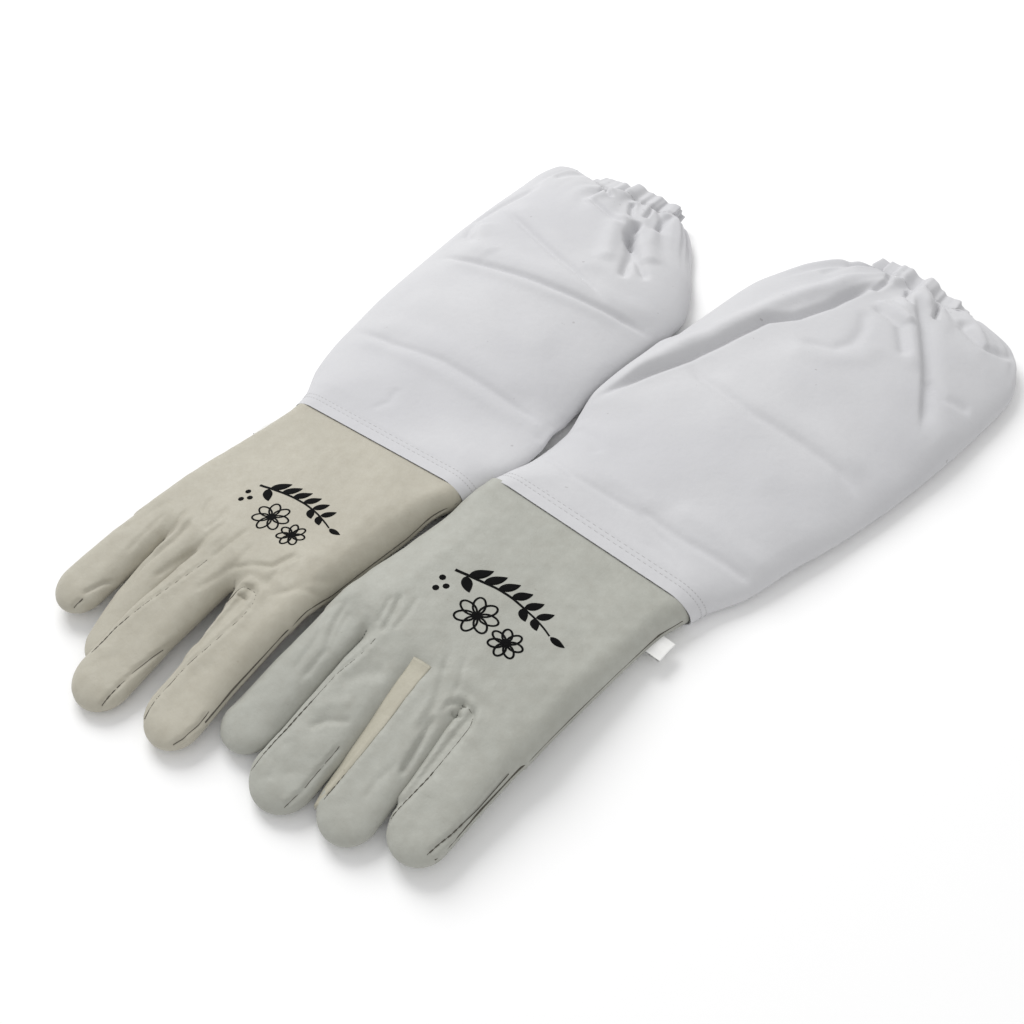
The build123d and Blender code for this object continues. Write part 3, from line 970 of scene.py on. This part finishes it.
def spline(keys, value):
    """A smooth monotone curve through (place, value) keys."""
    x, y = np.array(keys, float).T
    step, rise = np.diff(x), np.diff(y)
    slope = rise / step
    product = slope[:-1] * slope[1:]
    inner = np.where(product > 0, 2 * product / (slope[:-1] + slope[1:] + 1e-12), 0)
    slopes = np.concatenate([[slope[0]], inner, [slope[-1]]])
    i = np.clip(np.searchsorted(x, value) - 1, 0, len(step) - 1)
    t = (value - x[i]) / step[i]
    h = step[i]
    return ((1 + 2 * t) * (1 - t) ** 2 * y[i] + t * (1 - t) ** 2 * h * slopes[i]
            + t * t * (3 - 2 * t) * y[i + 1] + t * t * (t - 1) * h * slopes[i + 1])


def sleeve_folds(side, x, y):
    """Height that the sleeve's folds add on top."""
    total = 1.2 * lumps(x, y, 95.0, 11 + SEED[side])
    total = total + 0.3 * lumps(x, y, 42.0, 13 + SEED[side])
    for line, height, width in FOLDS[side]:
        total = total + crease(x, y, line, height, width)
    for line, height, width in TUCKS[side]:
        total = total + step_fold(x, y, line, height, width)
    return total


def sleeve_surface(side):
    """The points of the outside of one sleeve, as a grid of rows and points around, from the seam to the
    cuff.
    """
    rows = np.array(SLEEVES[side], float)
    y_end = rows[-1, 0]
    v = np.linspace(0, 1, ALONG)
    y = rows[0, 0] + (y_end - rows[0, 0]) * v
    left, right, middle, above, below, push_left, push_right = (
        spline(rows[:, [0, i]], y)[:, None] for i in range(1, 8))
    angle = np.linspace(0, 2 * np.pi, AROUND, endpoint=False)[None, :]
    centre, half = (left + right) / 2, (right - left) / 2
    y = np.repeat(y[:, None], AROUND, axis=1)
    gather = ease(y, CASING_START[side] - 70, CASING_START[side])
    rng = np.random.default_rng(21 + SEED[side])
    ripple = np.zeros_like(y)
    for pleats, size in ((8, 1.0), (13, 1.0), (21, 0.5), (34, 0.25)):
        phase = rng.uniform(0, 2 * np.pi)
        ripple += size * np.cos(pleats * angle + phase + 1.2 * np.sin(2 * angle + phase))
    x = centre + half * np.cos(angle)
    depth = half * (1 - np.abs(np.cos(angle)))
    reach = SEAM_ROUND + (half - SEAM_ROUND) * ease(y, 0, 60)
    share = fullness(depth, reach)
    slope = SIDE_SLOPE * (1 - ease(y, 0, 60))
    up = np.sin(angle) > 0
    rise = np.where(up, above, below)
    z = middle - slope * x + np.where(up, 1, -1) * rise * share
    top = np.clip(np.sin(angle) * 2.2, 0, 1)
    fold_fade = ease(y, 8, 20) * (1 - 0.8 * ease(y, CASING_START[side] - 8, CASING_START[side] + 3))
    z = z + top * fold_fade * sleeve_folds(side, x, y)
    out = 1.7 * gather ** 2 * ripple * (1 - 0.35 * ease(y, CASING_START[side], y_end))
    x = x + out * np.cos(angle)
    z = z + out * np.sin(angle) * np.where(up, 1.0, 0.35)
    cosine = np.cos(angle)
    push = push_left * np.clip(-cosine, 0, 1) ** 2 + push_right * np.clip(cosine, 0, 1) ** 2
    slant = -SLANT[side] * cosine * ease(y, y_end - 60, y_end - 8)
    points = np.stack([x, y + push + slant, z], -1)
    start, end = LAP[side]
    lap = ease(y, start, start + 24) * (1 - ease(y, end - 24, end)) * np.clip(-cosine, 0, 1) ** 3
    points[..., 2] += 6.5 * lap
    stitch = np.exp(-(((y - CASING_START[side]) / 1.6) ** 2)) * gather
    points[..., 0] -= 1.6 * stitch * np.cos(angle)
    points[..., 2] -= 1.4 * stitch * np.sin(angle)
    hem_line = sum(np.exp(-(((y - row) / 0.9) ** 2)) for row in HEM_ROWS) * 0.3
    points[..., 2] -= hem_line * np.sin(angle)
    points[..., 2] = np.maximum(points[..., 2], 0.35)
    return points


def stitch_row(points, normals, y, every, long):
    """Stitches round a sleeve where its row is nearest to y, each lying on the canvas."""
    rows = np.abs(points[:, AROUND // 4, 1] - y)
    row = int(rows.argmin())
    normals = normals.reshape(points.shape)
    strips = []
    for start in range(0, AROUND, every):
        at = [(start + k) % AROUND for k in range(long + 1)]
        line, out = points[row, at], normals[row, at]
        step = np.gradient(line, axis=0)
        across = np.cross(out, step)
        across /= np.maximum(np.linalg.norm(across, axis=1), 1e-9)[:, None]
        strips.append(np.stack([line - 0.24 * across, line + 0.22 * out, line + 0.24 * across], axis=1))
    return strips


# ---------------------------------------------------------------- putting it together


def leather_piece(name, side, surface, nodes):
    """A shell of the glove's leather in place of some CAD nodes."""
    piece = shell(f"{side}_{name}_leather", *surface, LEATHER, MATERIALS[side], side)
    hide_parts(*[f"{side}_{node}" for node in nodes])
    return piece


def build_hand(side):
    """The leather hand, its stalls, their fourchettes and their seams."""
    surfaces = build_leather(side)
    hand = leather_piece("hand", side, surfaces["hand"], ("hand_back", "hand_palm", "wrist_seam"))
    blend_wrist(hand, side)
    for finger in FINGER_NAMES:
        nodes = [n[len(side) + 1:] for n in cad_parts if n.startswith(f"{side}_{finger}_")]
        blend_finger(leather_piece(finger, side, surfaces[finger], nodes), side)
        strips = seam_threads(side, finger)
        if strips:
            threads = join_strips(f"{side}_{finger}_seams", side, strips, MATERIALS["thread"])
            blend_finger(threads, side)
    for finger, line in FOURCHETTES[side]:
        blend_finger(build_fourchette(side, finger, line), side)


def edge_seam(side):
    """The seam round the hand's outer side that the camera sees, as a rolled leather edge."""
    sign = 1 if side == "left" else -1
    finger = "pinky" if side == "left" else "index"
    whole_y = np.arange(-5.0, -168.0, -1.5)
    whole_x = np.full(len(whole_y), sign * 40.0)
    for _ in range(80):
        whole_x = whole_x - sign * outline(side, whole_x, whole_y) * 0.6
    for _ in range(12):
        whole_x[1:-1] = 0.25 * whole_x[:-2] + 0.5 * whole_x[1:-1] + 0.25 * whole_x[2:]
    root = int(np.argmax(whole_y <= ROOT_Y))
    for part, run in (("hand", slice(0, root + 1)), (finger, slice(root, None))):
        x, y = whole_x[run], whole_y[run]
        points = np.stack([x - sign * 0.7, y, middle_height(x, y) + 0.6], -1)
        up = np.array([[0, 0, 1.0]] * len(y))
        out = np.array([sign * 1.0, 0, 0])
        roll = [thread_line(points, up, out, 2.2, 1.2)]
        line = [thread_line(points + [sign * 0.35, 0, 1.5], up, out, 0.5, 0.35)]
        drop = (sign * 0.8, 0, 0)
        for name, strips, material in (("roll", roll, MATERIALS[side]), ("line", line, MATERIALS["thread"])):
            piece = join_strips(f"{side}_{part}_edge_{name}", side, strips, material, drop, out)
            if part == "hand":
                blend_wrist(piece, side)
            else:
                blend_finger(piece, side)


def build_canvas(side):
    """The canvas sleeve, hollow from the seam to the cuff, and its stitching."""
    grid = sleeve_surface(side)
    points = grid.reshape(-1, 3)
    top = ALONG // 2 * AROUND + AROUND // 4
    faces, normals = facing_up(points, grid_faces(*grid.shape[:2]), top)
    sleeve = shell(f"{side}_sleeve_canvas", points, faces, normals, CANVAS, MATERIALS["canvas"], side)
    names = ("sleeve_back", "sleeve_front", "sleeve_seam", "cuff_casing", "cuff_elastic")
    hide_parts(*[f"{side}_{n}" for n in names])
    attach(sleeve, f"{side}_sleeve")
    hem = [strip for y in HEM_ROWS for strip in stitch_row(grid, normals, y, 4, 2)]
    casing = stitch_row(grid, normals, CASING_START[side], 5, 3)
    for name, strips in (("hem", hem), ("casing", casing)):
        stitches = join_strips(f"{side}_{name}_stitches", side, strips, MATERIALS["white_thread"], None)
        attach(stitches, f"{side}_sleeve")


def build_thumb(side):
    """The thumb stall, tucked flat under the palm."""
    turn, length, columns = math.radians(18.0), 56, 72
    root, way = np.array([-40.0, -46.0]), np.array([math.sin(turn), -math.cos(turn)])
    cross = np.array([way[1], -way[0]])
    share = 1 - (1 - np.linspace(0, 1, 60)) ** 1.6
    half = 13.8 * np.interp(share, [0, 0.3, 0.7, 1], [0.86, 1.0, 0.97, 0.86])
    tip = np.sqrt(np.clip(1 - np.clip((share * length - 43) / 13, 0, 1) ** 2, 0, 1))
    angle = np.linspace(0, 2 * np.pi, columns, endpoint=False)[None, :]
    wide = (half * tip)[:, None] * np.cos(angle)
    middle = root + way * (share * length)[:, None]
    x, y = (middle[:, i:i + 1] + cross[i] * wide for i in (0, 1))
    rise = 4.6 * np.sqrt(tip)[:, None]
    z = 4.9 + rise * np.sign(np.sin(angle)) * np.abs(np.sin(angle)) ** 0.8
    z = z + 0.25 * lumps(x, y, 20.0, 31) * tip[:, None]
    points = np.stack([x, y, np.maximum(z, 0.3)], -1).reshape(-1, 3)
    top = len(share) // 2 * columns + columns // 4
    faces, normals = facing_up(points, grid_faces(len(share), columns), top)
    thumb = leather_piece("thumb", side, (points, faces, normals), ("thumb_back", "thumb_palm"))
    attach(thumb, f"{side}_thumb")


def build_label(side):
    """A folded white tape tab, sewn in the little finger side's seam."""
    start, long, fold = 57.5, 7.2, 0.55
    flat = [start + long * t for t in np.linspace(0, 1, 9)]
    turns = np.linspace(-np.pi / 2, np.pi / 2, 11)[1:-1]
    profile = [(x, -fold) for x in flat]
    profile += [(start + long + fold * math.cos(a), fold * math.sin(a)) for a in turns]
    profile += [(x, fold) for x in flat[::-1]]
    rows = []
    for place in np.linspace(-30.5, -17.5, 16):
        base = float(middle_height(58.0, place))
        lean = 0.05 * math.sin(place * 0.5) - 0.05
        rows.append([(x, place, base + z + lean * (x - start)) for x, z in profile])
    points = np.array(rows).reshape(-1, 3)
    columns = len(profile)
    middle = 8 * columns + columns - 4
    faces, normals = facing_up(points, grid_faces(len(rows), columns, False), middle)
    label = shell(f"{side}_label_tape", points, faces, normals, 0.3, MATERIALS["label"], side)
    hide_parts(f"{side}_care_label")
    blend_wrist(label, side)


# The middle of each print, and its size.
PRINT_PLACE = {"right": (-8.0, -68.0, 0.86), "left": (-1.5, -66.0, 0.96)}


def leaf(start, heading, long, wide):
    """A leaf as (x, y, width) points, from its stalk to its point."""
    t = np.linspace(0, 1, 12)
    bend = heading + 0.35 * (t - 0.5)
    x = start[0] + np.cumsum(np.cos(bend)) * long / 12
    y = start[1] + np.cumsum(np.sin(bend)) * long / 12
    return np.stack([x, y, np.maximum(wide * np.sin(np.pi * t ** 0.8) ** 0.8, 0.25)], -1)


def loop(centre, heading, long, wide, pen):
    """A petal drawn in outline, as (x, y, pen width) points."""
    t = np.linspace(0, 2 * np.pi, 25)
    u, v = long * (0.62 - 0.5 * np.cos(t)), 0.5 * wide * np.sin(t)
    x = centre[0] + u * math.cos(heading) - v * math.sin(heading)
    y = centre[1] + u * math.sin(heading) + v * math.cos(heading)
    return np.stack([x, y, np.full(25, pen)], -1)


def disc(centre, size):
    """A dot, as (x, y, width) points across it."""
    t = np.linspace(-1, 1, 9)
    width = np.maximum(2 * size * np.sqrt(1 - t * t), 0.1)
    return np.stack([centre[0] + size * t, np.full(9, centre[1]), width], -1)


def build_print(side):
    """A plain printed sprig of leaves with a flower, in ink on the back of the hand."""
    x0, y0, size = PRINT_PLACE[side]
    shapes = []
    t = np.linspace(0, 1, 30)
    stem = np.stack([-30 + 58 * t, 5 + 9 * np.sin(2.4 * t) - 6 * t, 1.7 - 0.8 * t], -1)
    shapes.append(stem)
    for k, place in enumerate((3, 7, 11, 15, 19, 23)):
        for turn, long in ((0.85, 13.5), (-0.85, 11.5)):
            if turn < 0 and k in (1, 2, 3):
                continue
            shapes.append(leaf(stem[place, :2], turn + 0.1, long - 0.7 * k, 5.6 - 0.25 * k))
    shapes.append(leaf(stem[29, :2], 0.0, 9.0, 3.6))
    for centre, reach in (((-4, -9), 9.6), ((16, -12), 7.4)):
        for k in range(7):
            shapes.append(loop(centre, 2 * math.pi * k / 7 + 0.3, reach, 0.62 * reach, 1.05))
        shapes.append(disc(centre, 0.22 * reach))
    for centre in ((-26, -6), (-31, -3), (-29, -10)):
        shapes.append(disc(centre, 1.7))
    strips = []
    for shape in shapes:
        across = line_sides(shape)
        share = np.linspace(-1, 1, 5)
        x = x0 + WAY[side] * size * (shape[:, :1] + across[:, :1] * shape[:, 2:3] / 2 * share)
        y = y0 + size * (shape[:, 1:2] + across[:, 1:] * shape[:, 2:3] / 2 * share)
        strips.append(np.stack([x, y, top_height(side, x, y) + 0.12], -1))
    ink = join_strips(f"{side}_print", side, strips, MATERIALS["ink"], (0, 0, 0.1))
    blend_wrist(ink, side)


def build_glove(side):
    build_hand(side)
    edge_seam(side)
    build_thumb(side)
    build_label(side)
    build_print(side)
    build_canvas(side)


def row_point(side, x, y, z):
    return tuple(float(c) for c in to_row(side, np.array([x, y, z], float)))


def blend_along(piece, side, start, length):
    """Bakes a piece's place into its mesh; no bend is spread. The row points at y start and a length towards
    the fingertips are worked out but not used.
    """
    row_point(side, 0, start, 10)
    row_point(side, 0, start - length, 10)
    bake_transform(piece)


def blend_wrist(piece, side):
    blend_along(piece, side, 0, WRIST_BEND)


def blend_finger(piece, side):
    blend_along(piece, side, ROOT_Y, FINGER_BEND)


def add_camera():
    """The camera, looking down at the gloves from in front and to the right."""
    camera = bpy.data.objects.new("camera", bpy.data.cameras.new("camera"))
    camera.data.lens = 38.92
    camera.data.sensor_width = 36.0
    bpy.context.scene.collection.objects.link(camera)
    x, y = ((a + b) / 2 for a, b in zip(ORIGIN["right"], ORIGIN["left"]))
    place = Matrix.Translation((x + 0.2641, y - 0.2941, 0.4164))
    for degrees, axis in ((39.35, "Z"), (90 - 46.4, "X"), (0.7, "Z")):
        place = place @ Matrix.Rotation(math.radians(degrees), 4, axis)
    camera.matrix_world = place
    bpy.context.scene.camera = camera


def add_light(name, spot, target, size, power):
    data = bpy.data.lights.new(name, "AREA")
    data.shape = "SQUARE"
    data.size = size
    data.energy = power
    light = bpy.data.objects.new(name, data)
    bpy.context.scene.collection.objects.link(light)
    light.location = spot
    light.rotation_euler = (Vector(target) - Vector(spot)).to_track_quat("-Z", "Y").to_euler()


def add_stage():
    mesh = bpy.data.meshes.new("floor")
    far = 6.0
    mesh.from_pydata([(-far, -far, 0), (far, -far, 0), (far, far, 0), (-far, far, 0)], [], [(0, 1, 2, 3)])
    floor = bpy.data.objects.new("floor", mesh)
    bpy.context.scene.collection.objects.link(floor)
    paint = {"Base Color": grey(0.95), "Roughness": 0.95, "Specular IOR Level": 0.05}
    floor.data.materials.append(Nodes("pale_floor").finish(paint))
    world = bpy.data.worlds.new("studio")
    world.use_nodes = True
    background = world.node_tree.nodes["Background"]
    background.inputs["Color"].default_value = grey(1.0)
    background.inputs["Strength"].default_value = 0.6
    bpy.context.scene.world = world
    bpy.context.scene.view_settings.view_transform = "Standard"
    add_light("key", (-1.38, 0.55, 1.42), (0, 0, 0), 1.25, 31.0)
    add_light("fill", (1.2, -0.8, 1.6), (0, 0, 0), 1.6, 6.0)


for glove_side in SIDES:
    build_glove(glove_side)
add_camera()
add_stage()
